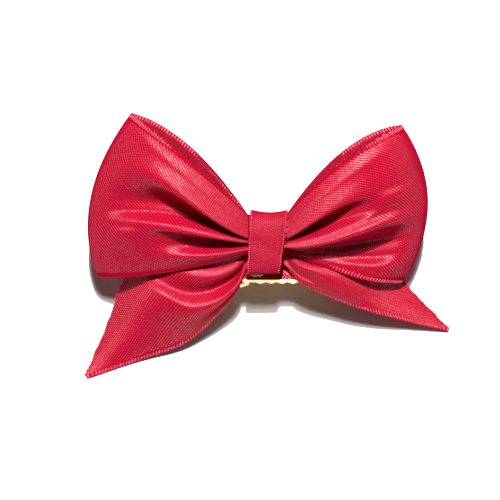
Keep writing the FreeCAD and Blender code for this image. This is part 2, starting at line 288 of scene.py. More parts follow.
def edge_samples(grid, last_column, pitch):
    """Places along one long edge: point, direction along, direction inwards, normal."""
    n = normals(grid)
    column, inner = (-1, -1 - INWARD_COLUMNS) if last_column else (0, INWARD_COLUMNS)
    points = grid[:, column]
    inward = grid[:, inner] - points
    inward /= np.linalg.norm(inward, axis=1, keepdims=True)
    length = lengths(points[:, None])[:, 0]
    want = np.arange(pitch * 0.5, length[-1], pitch)

    def pick(values):
        return np.stack([np.interp(want, length, values[:, k]) for k in range(3)], axis=1)

    p, i, m = pick(points), pick(inward), pick(n[:, column])
    a = np.gradient(p, axis=0)
    a /= np.linalg.norm(a, axis=1, keepdims=True)
    return p, a, i, m


def selvedge(name, grid, material, reach=SELVEDGE, pitch=BAR_PITCH, raised=None):
    """Rounded bars of thread wrapped over a ribbon's long edges, standing up where raised is 1."""
    ball, ball_faces = unit_ball()
    parts = []
    for edge, last_column in enumerate((False, True)):
        for p, a, i, m in zip(*edge_samples(grid, last_column, pitch)):
            proud = raised(edge, p) if raised else 1.0
            size = 1 + BAR_SPREAD * rng.standard_normal(3)
            centre = p + i * (reach * BAR_INSET)
            tilt = a + i * BAR_TILT * rng.standard_normal()
            sunken = HALF_THICK * (BAR_FLAT + (1 - BAR_FLAT) * proud)
            height = sunken + BAR_PROUD * proud * reach / SELVEDGE
            bar = (ball[:, :1] * i * reach * BAR_HALF_LENGTH * size[0]
                   + ball[:, 1:2] * tilt * pitch * BAR_HALF_WIDTH * size[1]
                   + ball[:, 2:] * m * height * size[2])
            parts.append((centre + bar, ball_faces))
    return make_object(name, *merge(parts), material, "bow", "satin")


def ring_faces(rings, sides, closed=False):
    """Faces of a tube made of rings of points, with caps on its ends unless it is closed."""
    faces = []
    for k in range(rings if closed else rings - 1):
        a, b = k * sides, ((k + 1) % rings) * sides
        for m in range(sides):
            after = (m + 1) % sides
            faces.append((a + m, a + after, b + after, b + m))
    if not closed:
        faces += [tuple(range(sides))[::-1], tuple((rings - 1) * sides + m for m in range(sides))]
    return faces


def tube(path, radius, sides, closed=False):
    """Vertices and faces of a round tube along a path."""
    path = np.asarray(path, float)
    if closed:
        tangent = np.roll(path, -1, axis=0) - np.roll(path, 1, axis=0)
    else:
        tangent = np.gradient(path, axis=0)
    tangent /= np.linalg.norm(tangent, axis=1, keepdims=True)
    side = np.eye(3)[np.argmin(np.abs(tangent[0]))]
    first = []
    for direction in tangent:
        side = side - direction * (side @ direction)
        side = side / np.linalg.norm(side)
        first.append(side)
    first = np.array(first)[:, None]
    second = np.cross(tangent, first[:, 0])[:, None]
    angle = np.linspace(0, 2 * math.pi, sides, endpoint=False)[None, :, None]
    reach = np.broadcast_to(np.asarray(radius, float), (len(path),))[:, None, None]
    verts = path[:, None] + (first * np.cos(angle) + second * np.sin(angle)) * reach
    return verts.reshape(-1, 3), ring_faces(len(path), sides, closed)


def fibre(start, direction, length, bend):
    """A short curved thread end."""
    f = np.linspace(0, 1, FIBRE_POINTS)[:, None]
    path = start + direction * length * f + bend * length * f * f
    return tube(path, np.linspace(*FIBRE_RADII, FIBRE_POINTS), FIBRE_SIDES)


# ---- materials ---------------------------------
CRIMSON = (0.42, 0.0018, 0.027, 1)
GAP_SHADE_AND_HEM = (0.20, 0.0015, 0.012, 1)  # painted shade between the thread lines; also the dark sewn hem line
# The wrong side's duller colour, darkened further as painted shade of the loops' insides.
WRONG_SIDE_WITH_SHADE = (0.10, 0.0010, 0.008, 1)
BAR_GAP_SHADE = (0.27, 0.0016, 0.018, 1)  # painted shade on the ribbon under and between the selvedge's bars
FLOAT = (0.62, 0.085, 0.115, 1)  # where a float of thread catches the light
THROUGH = (0.9, 0.003, 0.04, 1)  # light that comes through the cloth
LUSTRE_TINT = (1.0, 0.46, 0.48, 1)
# The bars' pale fibre tone is painted sheen, thread catching the light; mixing two tones fibre by fibre is
# the thread's own.
BAR_SHEEN_PALE, BAR_DARK = (0.64, 0.075, 0.115, 1), (0.42, 0.018, 0.045, 1)
THREAD_TINT = (1.0, 0.6, 0.62, 1)
LOOSE_PALE, LOOSE_DARK = (0.7, 0.06, 0.1, 1), (0.45, 0.01, 0.04, 1)
YARN_PALE, YARN_DARK = (0.4, 0.02, 0.05, 1), (0.2, 0.004, 0.02, 1)
PALE_GOLD, SPRING_STEEL = (0.85, 0.66, 0.32, 1), (0.55, 0.53, 0.5, 1)
GLUE_CLOUDY, GLUE_CLEAR = (0.86, 0.74, 0.66, 1), (0.95, 0.9, 0.84, 1)
FLOOR_DARK, FLOOR_PALE = (0.79, 0.79, 0.79, 1), (0.82, 0.82, 0.82, 1)

TWILL_ANGLE, TWILL_PITCH = 53.0, 0.6  # degrees from the ribbon's length, and millimetres
DASH = 0.64  # length of one float of the twill
DASH_STEP = 0.41  # how far each line's floats are shifted from its neighbour's
DRIFT_SCALE, DRIFT = 0.35, 0.5  # the lines wander by up to half this many pitches
PATCH_SCALE, PATCH_TONE = 0.09, 0.9  # slow changes of tone over the cloth
SPARKLE, SPARKLE_BASE = 0.6, 0.5  # how much the floats differ in brightness
FLOAT_SHARE, GAP_SHADE_SHARE, BACK_SHARE = 0.11, 0.45, 0.85  # how much of each colour is mixed in: painted highlight, painted shade between lines, wrong side with painted shade
SQUIGGLE_SCALE, SQUIGGLE_TURNS, SQUIGGLE_SHARE = 1.5, 9.0, 0.35  # loose threads on the wrong side
EDGE_BLUR, EDGE_COLOUR = 0.12, 0.4  # the selvedge's border, and its share of the cloth's colour
HEM_HALF, HEM_BLUR, HEM_SHARE = 0.12, 0.32, 0.7  # the sewn line: dark this near, gone this far off
BACK_ROUGHNESS, FACE_SMOOTHER = 0.62, 0.15
ALONG_GRAIN = 0.75  # how far the shine stretches along the ribbon
THREAD_BUMP, THREAD_DEPTH = 0.7, 0.00005  # strength, and metres
THROUGH_SHARE = 0.24


class Nodes:
    """Short calls for building a material's node tree."""

    def __init__(self, name):
        self.material = bpy.data.materials.new(name)
        self.material.use_nodes = True
        self.tree = self.material.node_tree
        self.tree.nodes.clear()
        self.out = self.tree.nodes.new("ShaderNodeOutputMaterial")
        self.bsdf = self.add("ShaderNodeBsdfPrincipled")
        self.link(self.bsdf, "BSDF", self.out, "Surface")

    def add(self, kind, **values):
        node = self.tree.nodes.new(kind)
        for key, value in values.items():
            if hasattr(node, key):
                setattr(node, key, value)
            else:
                node.inputs[key.replace("_", " ")].default_value = value
        return node

    def link(self, a, out, b, into):
        self.tree.links.new(a.outputs[out], b.inputs[into])

    def feed(self, value, node, into):
        """Set an input to a plain value, or link an output to it."""
        if isinstance(value, (int, float, tuple)):
            node.inputs[into].default_value = value
        else:
            self.tree.links.new(value, node.inputs[into])

    def surface(self, value, into):
        """Set or link an input of the surface shader."""
        self.feed(value, self.bsdf, into)

    def math(self, operation, *values):
        node = self.add("ShaderNodeMath", operation=operation)
        for k, value in enumerate(values):
            self.feed(value, node, k)
        return node.outputs[0]

    def mix(self, factor, a, b):
        node = self.add("ShaderNodeMix", data_type="RGBA")
        for k, value in ((0, factor), (6, a), (7, b)):
            self.feed(value, node, k)
        return node.outputs[2]

    def ramp(self, value, low, high):
        """0 at low, 1 at high, smooth between."""
        node = self.add("ShaderNodeMapRange", interpolation_type="SMOOTHSTEP")
        self.feed(value, node, "Value")
        node.inputs["From Min"].default_value = low
        node.inputs["From Max"].default_value = high
        return node.outputs[0]

    def ridges(self, value):
        """Regular ridges: 0 at whole numbers, 1 half way between."""
        return self.math("MULTIPLY", self.math("PINGPONG", value, 0.5), 2.0)

    def object_place(self):
        return self.add("ShaderNodeTexCoord").outputs["Object"]

    def bump(self, height, strength, distance):
        node = self.add("ShaderNodeBump", Strength=strength, Distance=distance)
        self.feed(height, node, "Height")
        return node.outputs[0]

    def noise(self, vector, scale, detail=2.0):
        node = self.add("ShaderNodeTexNoise", Scale=scale, Detail=detail, Roughness=0.5)
        self.feed(vector, node, "Vector")
        return node.outputs["Fac"]


def shade(colour, amount):
    return tuple(amount * c for c in colour[:3]) + (1,)


def twill(g, where, along, across, back, lines_angle, line_pitch):
    """Slanting lines of floats: how far over a line, how far along a float, and how much it glints."""
    a = math.radians(lines_angle)
    drift = g.math("MULTIPLY_ADD", g.noise(where, DRIFT_SCALE), DRIFT, -DRIFT / 2)
    phase = g.math("MULTIPLY_ADD", along, math.cos(a) / line_pitch, drift)
    phase = g.math("MULTIPLY_ADD", across, math.sin(a) / line_pitch, phase)
    row = g.math("FLOOR", phase)
    beat = g.math("MULTIPLY_ADD", along, math.sin(a) / DASH, g.math("MULTIPLY", row, DASH_STEP))
    beat = g.math("MULTIPLY_ADD", across, -math.cos(a) / DASH, beat)
    line = g.ridges(phase)
    dash = g.ridges(beat)
    cell = g.add("ShaderNodeCombineXYZ")
    for k, value in enumerate((row, g.math("FLOOR", beat), back)):
        g.feed(value, cell, k)
    chance = g.add("ShaderNodeTexWhiteNoise")
    g.link(cell, 0, chance, "Vector")
    glint = g.math("MULTIPLY", g.ramp(line, 0.25, 0.8), g.ramp(dash, 0.0, 0.6))
    sparkle = g.ramp(chance.outputs["Value"], 0.0, 1.0)
    glint = g.math("MULTIPLY", glint, g.math("MULTIPLY_ADD", sparkle, SPARKLE, SPARKLE_BASE))
    return line, dash, glint


def satin_colour(g, where, line, glint, back, face, inside, tone, patches):
    """Crimson with painted highlights on the floats and painted shade in the gaps on the face, painted
    shade under the selvedge's bars, and a dull wrong side darkened with painted shade.
    """
    # tone dims the whole colour; for the band this is painted shade.
    base = g.mix(g.ramp(patches, 0.3, 0.7), shade(CRIMSON, PATCH_TONE * tone), shade(CRIMSON, tone))
    # Painted shade: the grooves between the thread lines are darkened.
    base = g.mix(g.math("MULTIPLY", g.math("SUBTRACT", 1.0, line), GAP_SHADE_SHARE), base, GAP_SHADE_AND_HEM)
    # Painted highlight: floats that catch the light are mixed paler into the base colour.
    base = g.mix(g.math("MULTIPLY", g.math("MULTIPLY", glint, face), FLOAT_SHARE), base, FLOAT)
    squiggle = g.noise(where, SQUIGGLE_SCALE, 1.0)
    squiggle = g.math("PINGPONG", g.math("MULTIPLY", squiggle, SQUIGGLE_TURNS), 0.5)
    squiggle = g.ramp(squiggle, 0.3, 0.5)
    # The wrong side is darkened past its own duller colour: painted shade of the loops' insides.
    base = g.mix(g.math("MULTIPLY", back, BACK_SHARE), base, WRONG_SIDE_WITH_SHADE)
    base = g.mix(g.math("MULTIPLY", g.math("MULTIPLY", squiggle, back), SQUIGGLE_SHARE), base, FLOAT)
    # Painted shade: the strip under and between the selvedge's bars is darkened.
    return g.mix(g.math("MULTIPLY_ADD", inside, 1 - EDGE_COLOUR, EDGE_COLOUR), BAR_GAP_SHADE, base)


def satin(name, width, lines_angle=TWILL_ANGLE, line_pitch=TWILL_PITCH, edge_width=SELVEDGE, hem=0.0,
          lustre=2.8, tone=1.0):
    """Woven satin: slanting lines of short shiny floats with painted highlights and painted shade between
    them, a dull wrong side with painted shade, a plainer selvedge with painted shade under its bars.
    """
    g = Nodes(name)
    place = g.add("ShaderNodeAttribute", attribute_name="weave")
    split = g.add("ShaderNodeSeparateXYZ")
    g.link(place, "Vector", split, 0)
    along, across, back = split.outputs
    where = place.outputs["Vector"]
    line, dash, glint = twill(g, where, along, across, back, lines_angle, line_pitch)

    patches = g.noise(where, PATCH_SCALE, 3.0)
    edge = g.math("MINIMUM", across, g.math("SUBTRACT", width, across))
    inside = g.ramp(edge, edge_width - EDGE_BLUR, edge_width + EDGE_BLUR)
    face = g.math("SUBTRACT", 1.0, back)
    base = satin_colour(g, where, line, glint, back, face, inside, tone, patches)
    if hem:
        end = g.add("ShaderNodeAttribute", attribute_name="from_end").outputs["Fac"]
        sewn = g.ramp(g.math("ABSOLUTE", g.math("SUBTRACT", end, hem)), HEM_BLUR, HEM_HALF)
        base = g.mix(g.math("MULTIPLY", sewn, HEM_SHARE), base, GAP_SHADE_AND_HEM)
    g.surface(base, "Base Color")

    facing = g.add("ShaderNodeLayerWeight", Blend=0.5).outputs["Facing"]
    shine = g.math("MULTIPLY", g.math("MULTIPLY", face, inside), g.ramp(facing, 0.62, 0.2))
    g.surface(g.math("MULTIPLY", shine, g.math("MULTIPLY", glint, lustre)), "Specular IOR Level")
    g.surface(g.math("MULTIPLY_ADD", face, -FACE_SMOOTHER, BACK_ROUGHNESS), "Roughness")
    g.surface(ALONG_GRAIN, "Anisotropic")
    grain = g.add("ShaderNodeAttribute", attribute_name="grain")
    g.link(grain, "Vector", g.bsdf, "Tangent")
    g.surface(LUSTRE_TINT, "Specular Tint")
    height = g.math("MULTIPLY", line, g.math("MULTIPLY_ADD", dash, 0.5, 0.5))
    g.surface(g.bump(height, THREAD_BUMP, THREAD_DEPTH), "Normal")

    through = g.add("ShaderNodeBsdfTranslucent", Color=THROUGH)
    both = g.add("ShaderNodeMixShader", Fac=THROUGH_SHARE)
    g.link(g.bsdf, 0, both, 1)
    g.link(through, 0, both, 2)
    g.link(both, 0, g.out, "Surface")
    return g.material


def thread(name, pale, dark):
    """Twisted thread: fine fibres of two tones."""
    g = Nodes(name)
    fibres = g.noise(g.object_place(), 2600.0)
    g.surface(g.mix(g.ramp(fibres, 0.35, 0.65), dark, pale), "Base Color")
    g.surface(0.5, "Roughness")
    g.surface(THREAD_TINT, "Specular Tint")
    g.surface(g.bump(fibres, 0.4, 0.00004), "Normal")
    return g.material


def metal(name, colour):
    """Plated sheet: faint brushing along the clip, and a duller tone where the plating is thin."""
    g = Nodes(name)
    place = g.object_place()
    stretch = g.add("ShaderNodeMapping", Scale=(300.0, 6000.0, 6000.0))
    g.feed(place, stretch, "Vector")
    streaks = g.noise(stretch.outputs[0], 1.0, 3.0)
    blotch = g.noise(place, 500.0, 3.0)
    g.surface(g.mix(g.ramp(blotch, 0.4, 0.75), colour, shade(colour, 0.88)), "Base Color")
    g.surface(1.0, "Metallic")
    g.surface(g.math("MULTIPLY_ADD", streaks, 0.25, 0.25), "Roughness")
    g.surface(g.bump(streaks, 0.25, 0.00002), "Normal")
    return g.material


def hot_glue():
    g = Nodes("hot_glue")
    cloud = g.noise(g.object_place(), 700.0, 3.0)
    g.surface(g.mix(cloud, GLUE_CLOUDY, GLUE_CLEAR), "Base Color")
    g.surface(0.22, "Roughness")
    g.surface(0.4, "Subsurface Weight")
    g.surface(0.001, "Subsurface Scale")
    g.surface(g.bump(cloud, 0.2, 0.0001), "Normal")
    return g.material


def plain_floor():
    g = Nodes("pale_floor")
    tone = g.noise(g.object_place(), 40.0)
    g.surface(g.mix(tone, FLOOR_DARK, FLOOR_PALE), "Base Color")
    g.surface(0.8, "Roughness")
    return g.material


# ---- the loops ---------------------------------
KNOT_HALF_X = 4.7
KNOT_LOW, KNOT_HIGH = -2.9, 6.5  # the ribbon's squeezed edges at the knot, in v
FRONT_N, BACK_N = 2.1, 0.0
LEFT_FOLD = ((-42.0, -9.5), (-43.6, 10.5), (-33.5, 31.2))  # outer fold: bottom, middle and top
RIGHT_FOLD = ((33.8, -11.2), (40.0, 9.0), (33.4, 28.2))

# Each fold line across a loop's front layer: its place across the ribbon (0 bottom edge, 1 top
# edge) at the knot, one and two thirds of the way out and near the outer fold, then its height.
LEFT_LINES = (
    ((0.00, 0.00, 0.00, 0.00), (-0.2, -0.3, -0.3, 0.0)),
    ((0.14, 0.13, 0.16, 0.14), (0.7, 0.8, 0.6, 0.3)),
    ((0.23, 0.22, 0.28, 0.24), (-1.3, -2.6, 0.6, 0.3)),
    ((0.26, 0.29, 0.34, 0.29), (-1.2, -2.6, 0.8, 0.4)),
    ((0.31, 0.40, 0.40, 0.34), (1.1, 1.6, 1.3, 0.4)),
    ((0.34, 0.44, 0.43, 0.37), (1.2, 1.3, 1.2, 0.4)),
    ((0.37, 0.50, 0.50, 0.46), (-1.5, -3.4, -2.8, -0.9)),
    ((0.39, 0.56, 0.57, 0.53), (-1.3, -3.6, -3.2, -1.0)),
    ((0.44, 0.68, 0.78, 0.76), (1.3, 2.6, 1.8, 0.3)),
    ((0.74, 0.84, 0.90, 0.92), (0.8, 0.8, 0.8, 0.2)),
    ((1.00, 1.00, 1.00, 1.00), (-0.3, -0.4, -0.5, -0.2)),
)
RIGHT_LINES = (
    ((0.00, 0.00, 0.00, 0.00), (-0.6, -1.9, -0.4, 0.0)),
    ((0.04, 0.05, 0.08, 0.10), (-0.8, -1.9, -0.6, 0.2)),
    ((0.08, 0.12, 0.15, 0.24), (-1.4, -2.4, -2.8, -0.8)),
    ((0.13, 0.20, 0.25, 0.31), (-1.3, -2.6, -3.8, -1.2)),
    ((0.19, 0.32, 0.42, 0.43), (1.3, 2.5, 2.6, 1.0)),
    ((0.29, 0.40, 0.49, 0.53), (1.2, 1.6, 1.2, 0.5)),
    ((0.34, 0.47, 0.55, 0.58), (-1.5, -2.6, 0.8, 0.4)),
    ((0.37, 0.53, 0.60, 0.63), (-1.5, -2.8, 0.8, 0.4)),
    ((0.42, 0.66, 0.68, 0.69), (1.3, 2.0, 1.2, 0.4)),
    ((0.72, 0.84, 0.88, 0.93), (0.8, 1.0, 0.8, 0.2)),
    ((1.00, 1.00, 1.00, 1.00), (-0.3, -0.4, -0.5, -0.2)),
)
LINES_END, LINES_FADE = 0.9, 0.74  # reach of the last height, and where the heights start to fade
FRONT_SWELL, BACK_SWELL = (1.0, 6.6, 9.0), (0.6, 2.7, 7.5)  # at the bottom, middle and top
LEFT_RISE, RIGHT_RISE = (1.3, 4.3), (3.0, 4.7)  # front and back top edges bow upwards this far
BOTTOM_SAG = 1.2  # how far the bottom edges bow downwards
LEFT_DROOP, RIGHT_DROOP = (5.0, 7.0), (7.0, 8.5)  # how far the folds hang back, bottom and top
CORNER_PULL, CORNER_SPAN = 0.5, 0.03  # a loop's bottom corner is pulled in, over this part of the width
FOLD_SLIDE = -0.2  # how far a ridge leans down over the valley below it
BACK_PLEAT, BACK_TURNS, BACK_SHIFT = 0.55, 3.2, 0.15  # soft pleats of the back layer
LOOP_STEPS = 110  # rows of each layer of a loop
LEFT_LAP, RIGHT_LAP, LAP_DEPTH = 5.5, 6.5, 0.6  # the ribbon's ends lap behind the knot
LAP_ROWS, KNOT_ROWS = 6, 14  # rows of each lap, and of the front under the band
LAP_EASE = 40.0  # the left loop eases into its lap over this many rows
BARELESS_ROWS = 9  # rows at each hidden end that carry no selvedge bars
BARS_START, BARS_RUN = 13.0, 12.0  # the back layer's bars rise from here on, over this length
FRONT_BARS_START, FRONT_BARS_RUN = 20.0, 9.0  # and the front layer's
BOTTOM_BARS_RUN = 8.0  # and the right loop's bottom ones


def fold_height(lines, reach, t):
    """Height of the fold lines above the loop's smooth swell, and 0 at its outer fold."""
    f = min(reach / LINES_END, 1.0)
    places = np.array([through4(f, *place) for place, _ in lines])
    heights = np.array([through4(f, *height) for _, height in lines])
    heights = heights * (1 - ease((reach - LINES_FADE) / (1 - LINES_FADE)))
    return steps_between(places, heights, t)


def loop(fold, sign, lines, rise, droop, t):
    """Rows of (x, v, n) from the knot's front, round the outer fold, to the knot's back."""
    rows = []
    out_x = through3(t, *(point[0] for point in fold))
    out_x = out_x - sign * CORNER_PULL * np.exp(-(t / CORNER_SPAN) ** 2)
    out_v = through3(t, *(point[1] for point in fold))
    knot_v = KNOT_LOW + (KNOT_HIGH - KNOT_LOW) * t
    hang = droop[0] + (droop[1] - droop[0]) * t
    ripples = ((0.16, 0.23, 0.31, sign), (0.10, 0.41, -0.27, 0.0))
    for angle in np.linspace(0, 2 * math.pi, 2 * LOOP_STEPS + 1):
        reach = math.sin(angle / 2) ** 2
        front = angle <= math.pi
        x = sign * KNOT_HALF_X * (1 - reach) + out_x * reach
        v = knot_v * (1 - reach) + out_v * reach
        swell = through3(t, *(FRONT_SWELL if front else BACK_SWELL))
        n = (FRONT_N if front else BACK_N) * (1 - reach) + 2 * swell * reach * math.cos(angle / 2)
        fade = 1 - ease((reach - 0.5) / 0.5)
        v = v + (rise[0 if front else 1] * t - BOTTOM_SAG * (1 - t)) * 4 * reach * (1 - reach)
        if front:
            h = fold_height(lines, reach, t)
            v = v + FOLD_SLIDE * h * fade
        else:
            pleats = np.cos(2 * math.pi * (BACK_TURNS * t + BACK_SHIFT * sign))
            h = BACK_PLEAT * pleats * fade * (0.4 + reach) * ease(t * 4)
        rows.append(np.stack([x, v, n + h + waves(ripples, x, v) * reach - hang * reach**4], axis=-1))
    return np.array(rows)


def rows_between(row_a, row_b, count):
    """Rows that join two loops' rows under the band, or a loop's last row to its lapped end."""
    return np.array([row_a + (row_b - row_a) * f for f in np.linspace(0, 1, count + 2)[1:-1]])


def loop_bars(edge, point):
    """How far the selvedge stands up: least near the knot and along the left loop's bottom."""
    if edge == 0:
        return 0.0 if point[0] < 0 else float(ease((point[0] - BARS_START) / BOTTOM_BARS_RUN))
    in_front = (point - KNOT) @ OUT > -1.0
    start, run = (FRONT_BARS_START, FRONT_BARS_RUN) if in_front else (BARS_START, BARS_RUN)
    return float(ease((abs(point[0]) - start) / run))


def build_loops(cloth, bars):
    """One ribbon: its left end behind the knot, the left loop, the right loop, its right end."""
    t = side_columns(RIBBON_WIDTH)
    left = loop(LEFT_FOLD, -1, LEFT_LINES, LEFT_RISE, LEFT_DROOP, t)[::-1]
    right = loop(RIGHT_FOLD, 1, RIGHT_LINES, RIGHT_RISE, RIGHT_DROOP, t)
    left_end = left[:1].copy()
    left_end[..., 0] += LEFT_LAP
    left_end[..., 2] -= LAP_DEPTH
    left[..., 2] -= LAP_DEPTH * (1 - ease(np.arange(len(left)) / LAP_EASE))[:, None]
    right_end = right[-1:].copy()
    right_end[..., 0] -= RIGHT_LAP
    rows = np.concatenate([left_end, rows_between(left_end[0], left[0], LAP_ROWS), left,
                           rows_between(left[-1], right[0], KNOT_ROWS), right,
                           rows_between(right[-1], right_end[0], LAP_ROWS), right_end])
    grid = bow(rows[..., 0], rows[..., 1], rows[..., 2])
    piece = ribbon("loop_satin", grid, t, RIBBON_WIDTH, cloth, middle=len(grid) // 2)
    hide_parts("loop_ribbon")
    selvedge("loop_selvedge", grid[BARELESS_ROWS:-BARELESS_ROWS], bars, raised=loop_bars)


# ---- the tails ---------------------------------
# Lines across each tail from the tip inwards: lower edge, middle, upper edge.  x and y are from
# the knot's middle and z from the table.
LEFT_TAIL = (((-45.8, -29.9, 0.3), (-39.4, -14.4, 3.2), (-31.5, 3.0, 14.5)),
             ((-30.5, -24.6, 1.0), (-29.0, -12.2, 11.9), (-26.0, 0.5, 14.6)),
             ((-18.6, -20.7, 4.2), (-18.5, -10.8, 13.5), (-17.5, -1.0, 14.7)),
             ((-8.4, -12.2, 11.8), (-8.8, -6.8, 14.7), (-8.8, -1.8, 15.0)))
RIGHT_TAIL = (((9.0, -9.6, 13.6), (9.0, -5.8, 14.7), (8.8, -1.8, 15.2)),
              ((22.3, -14.0, 9.2), (20.6, -8.2, 13.1), (17.5, -1.4, 14.6)),
              ((46.7, -17.5, 0.3), (36.9, -7.8, 3.4), (27.5, 1.0, 7.4)))
TAIL_N, TAIL_LOW, TAIL_HIGH = -1.45, -6.2, -1.8  # the tails' ribbon behind the knot
TAIL_KNOT_X = (-4.4, 0.0, 4.4)
TAIL_WIDTH = 30.0
TAIL_ROWS = 320
TAIL_HEM = 1.1  # how far the sewn hem lies from a cut end

# Fold lines along each tail: place across it (0 lower edge, 1 upper edge) at the knot, further
# out and where the fold ends, then the height there.
LEFT_TAIL_LINES = (
    ((0.00, 0.00, 0.00), (0.4, -0.4, 0.0)),
    ((0.14, 0.33, 0.64), (2.0, 2.4, 0.9)),
    ((0.33, 0.46, 0.74), (-0.4, -0.4, -0.3)),
    ((0.52, 0.66, 0.92), (2.2, 1.6, 0.2)),
    ((1.00, 1.00, 1.00), (0.0, 0.0, 0.0)),
)
RIGHT_TAIL_LINES = (
    ((0.00, 0.00, 0.00), (-0.3, -0.5, 0.0)),
    ((0.20, 0.20, 0.24), (0.4, 0.5, 0.2)),
    ((0.52, 0.56, 0.60), (2.2, 1.6, 0.2)),
    ((0.78, 0.82, 0.85), (1.3, 1.0, 0.2)),
    ((1.00, 1.00, 1.00), (0.0, 0.0, 0.0)),
)
TAIL_FOLD_END = 0.75  # part of a tail's length that the folds run along
FOLDS_RISE, FOLDS_FADE, FOLDS_GONE = 0.08, 0.5, 0.85  # parts of it where they start and die away
TAIL_WAVES = ((0.12, 9.0, 14.0, 0.0), (0.08, 17.0, -9.0, 0.0))
RAGGED_EDGE = ((0.14, 31.0, 0.0, 0.0), (0.1, 57.0, 0.0, 1.0), (0.05, 123.0, 0.0, 0.0))
TIP_CUT, TIP_SPAN = 1.4, 0.05  # each tip is trimmed by this much over this part of the width
TIP_ROWS = 10  # rows at each cut end that share its raggedness
FRAY_TRIES, FRAY_SPLAY, FRAY_CURL = 110, 0.45, 0.5
FRAY_SHORT, FRAY_EXTRA = 0.35, 0.8  # length of a thread end, and how much longer some are
FRAY_ROWS = 6  # rows inwards that set which way a cut end faces


def tail_rows(t):
    def fall(low, middle, high):
        x, y, z = (through3(t, a, b, c) for a, b, c in zip(low, middle, high))
        return np.stack([x, KNOT[1] + y, TABLE + z], axis=-1)

    rows = [fall(*line) for line in LEFT_TAIL]
    v = TAIL_LOW + (TAIL_HIGH - TAIL_LOW) * t
    rows += [bow(np.full_like(t, x), v, np.full_like(t, TAIL_N)) for x in TAIL_KNOT_X]
    rows += [fall(*line) for line in RIGHT_TAIL]
    return np.array(rows)


def tail_lift(grid, t):
    """Fold heights over the tails, and small waves towards the cut ends."""
    x = grid[:, len(t) // 2, 0]
    lift = np.zeros(grid.shape[:2])
    for k, place in enumerate(x):
        lines = LEFT_TAIL_LINES if place < 0 else RIGHT_TAIL_LINES
        far = abs(x[0] if place < 0 else x[-1])
        s = max(0.0, (abs(place) - KNOT_HALF_X) / (far - KNOT_HALF_X))
        spots = [through3(s / TAIL_FOLD_END, *line) for line, _ in lines]
        heights = [through3(s / TAIL_FOLD_END, *height) for _, height in lines]
        ends = ease(s / FOLDS_RISE) * (1 - ease((s - FOLDS_FADE) / (FOLDS_GONE - FOLDS_FADE)))
        lift[k] = steps_between(spots, heights, t) * ends + waves(TAIL_WAVES, t, s) * ease(s * 4)
    return lift


def fray(grid, t, row, inner, spread):
    """Loose thread ends along a cut edge, most of them where spread is high."""
    parts = []
    outward = grid[row] - grid[inner]
    outward /= np.linalg.norm(outward, axis=1, keepdims=True)
    for _ in range(FRAY_TRIES):
        f = rng.random()
        if rng.random() > spread(f):
            continue
        spot = np.array([np.interp(f, t, grid[row][:, k]) for k in range(3)])
        way = np.array([np.interp(f, t, outward[:, k]) for k in range(3)])
        way = way + FRAY_SPLAY * rng.standard_normal(3)
        way /= np.linalg.norm(way)
        way[2] = abs(way[2])
        bend = FRAY_CURL * rng.standard_normal(3)
        bend[2] = abs(bend[2])
        parts.append(fibre(spot, way, FRAY_SHORT + FRAY_EXTRA * rng.random() * spread(f), bend))
    return parts


def cut_ends(grid, t):
    """Make the tails' cut ends ragged, and trim their tips."""
    ragged = waves(RAGGED_EDGE, t) - TIP_CUT * np.clip(1 - t / TIP_SPAN, 0, 1)
    for k in range(TIP_ROWS):
        fade = (1 - k / TIP_ROWS) * ragged[:, None]
        for end, step in ((0, 1), (-1, -1)):
            way = grid[end] - grid[end + step * TIP_ROWS]
            grid[end + step * k] += way / np.linalg.norm(way, axis=1, keepdims=True) * fade


def build_tails(cloth, bars, loose):
    t = side_columns(TAIL_WIDTH)
    grid = catmull(tail_rows(t), TAIL_ROWS)
    grid = grid + normals(grid) * tail_lift(grid, t)[..., None]
    cut_ends(grid, t)
    middle = int(np.argmin(np.abs(grid[:, len(t) // 2, 0])))
    piece = ribbon("tail_satin", grid, t, TAIL_WIDTH, cloth, middle=middle)
    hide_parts("tail_ribbon")
    selvedge("tail_selvedge", grid, bars)
    fibres = fray(grid, t, 0, FRAY_ROWS, lambda f: 0.3 + 0.4 * f)
    fibres += fray(grid, t, -1, -1 - FRAY_ROWS, lambda f: 0.3 + 0.7 * f)
    make_object("tail_fray", *merge(fibres), loose, "bow", "thread")


# ---- the band, and what it holds ---------------
# The band's closed outline as (v, n), from the middle of its back round over the bow's top.
BAND_SECTION = ((0.0, -2.8), (5.0, -2.75), (7.0, -2.2), (7.6, -0.6), (7.6, 1.2), (7.1, 3.0), (5.6, 4.3),
                (3.4, 4.75), (0.0, 4.6), (-4.0, 4.45), (-6.6, 4.1), (-7.6, 3.0), (-7.7, 0.0),
                (-7.2, -2.2), (-5.0, -2.75))
SECTION_POINTS = 241
BAND_WIDTH = 9.3
BAND_EDGE, BAND_BARS = 0.45, 0.52  # width of its stitched edge, and the pitch of its bars
# The last number dims the band's whole colour: painted shade, as the band's top faces the lamps.
BAND_ANGLE, BAND_TWILL, BAND_LUSTRE, BAND_SHADE_TONE = 37.0, 0.5, 0.8, 0.86
BAND_LEAN, BAND_OFFSET = 0.092, -0.25  # the band's middle leans along x as v rises
BAND_HALF, BAND_WIDENS = 4.25, 0.033  # its half width, more so higher up
BAND_WAVER = ((0.05, 2.1, 0.0, 0.0), (0.04, 1.0, 3.0, 0.0))
SWELL, SINK, SINK_START, SINK_RUN = 0.16, 0.8, 4.5, 2.5  # it swells, and sinks over the knot's top
SWELL_WAVE = ((0.05, 1.3, 2.0, 0.0),)
LOOSE_THREADS = 16

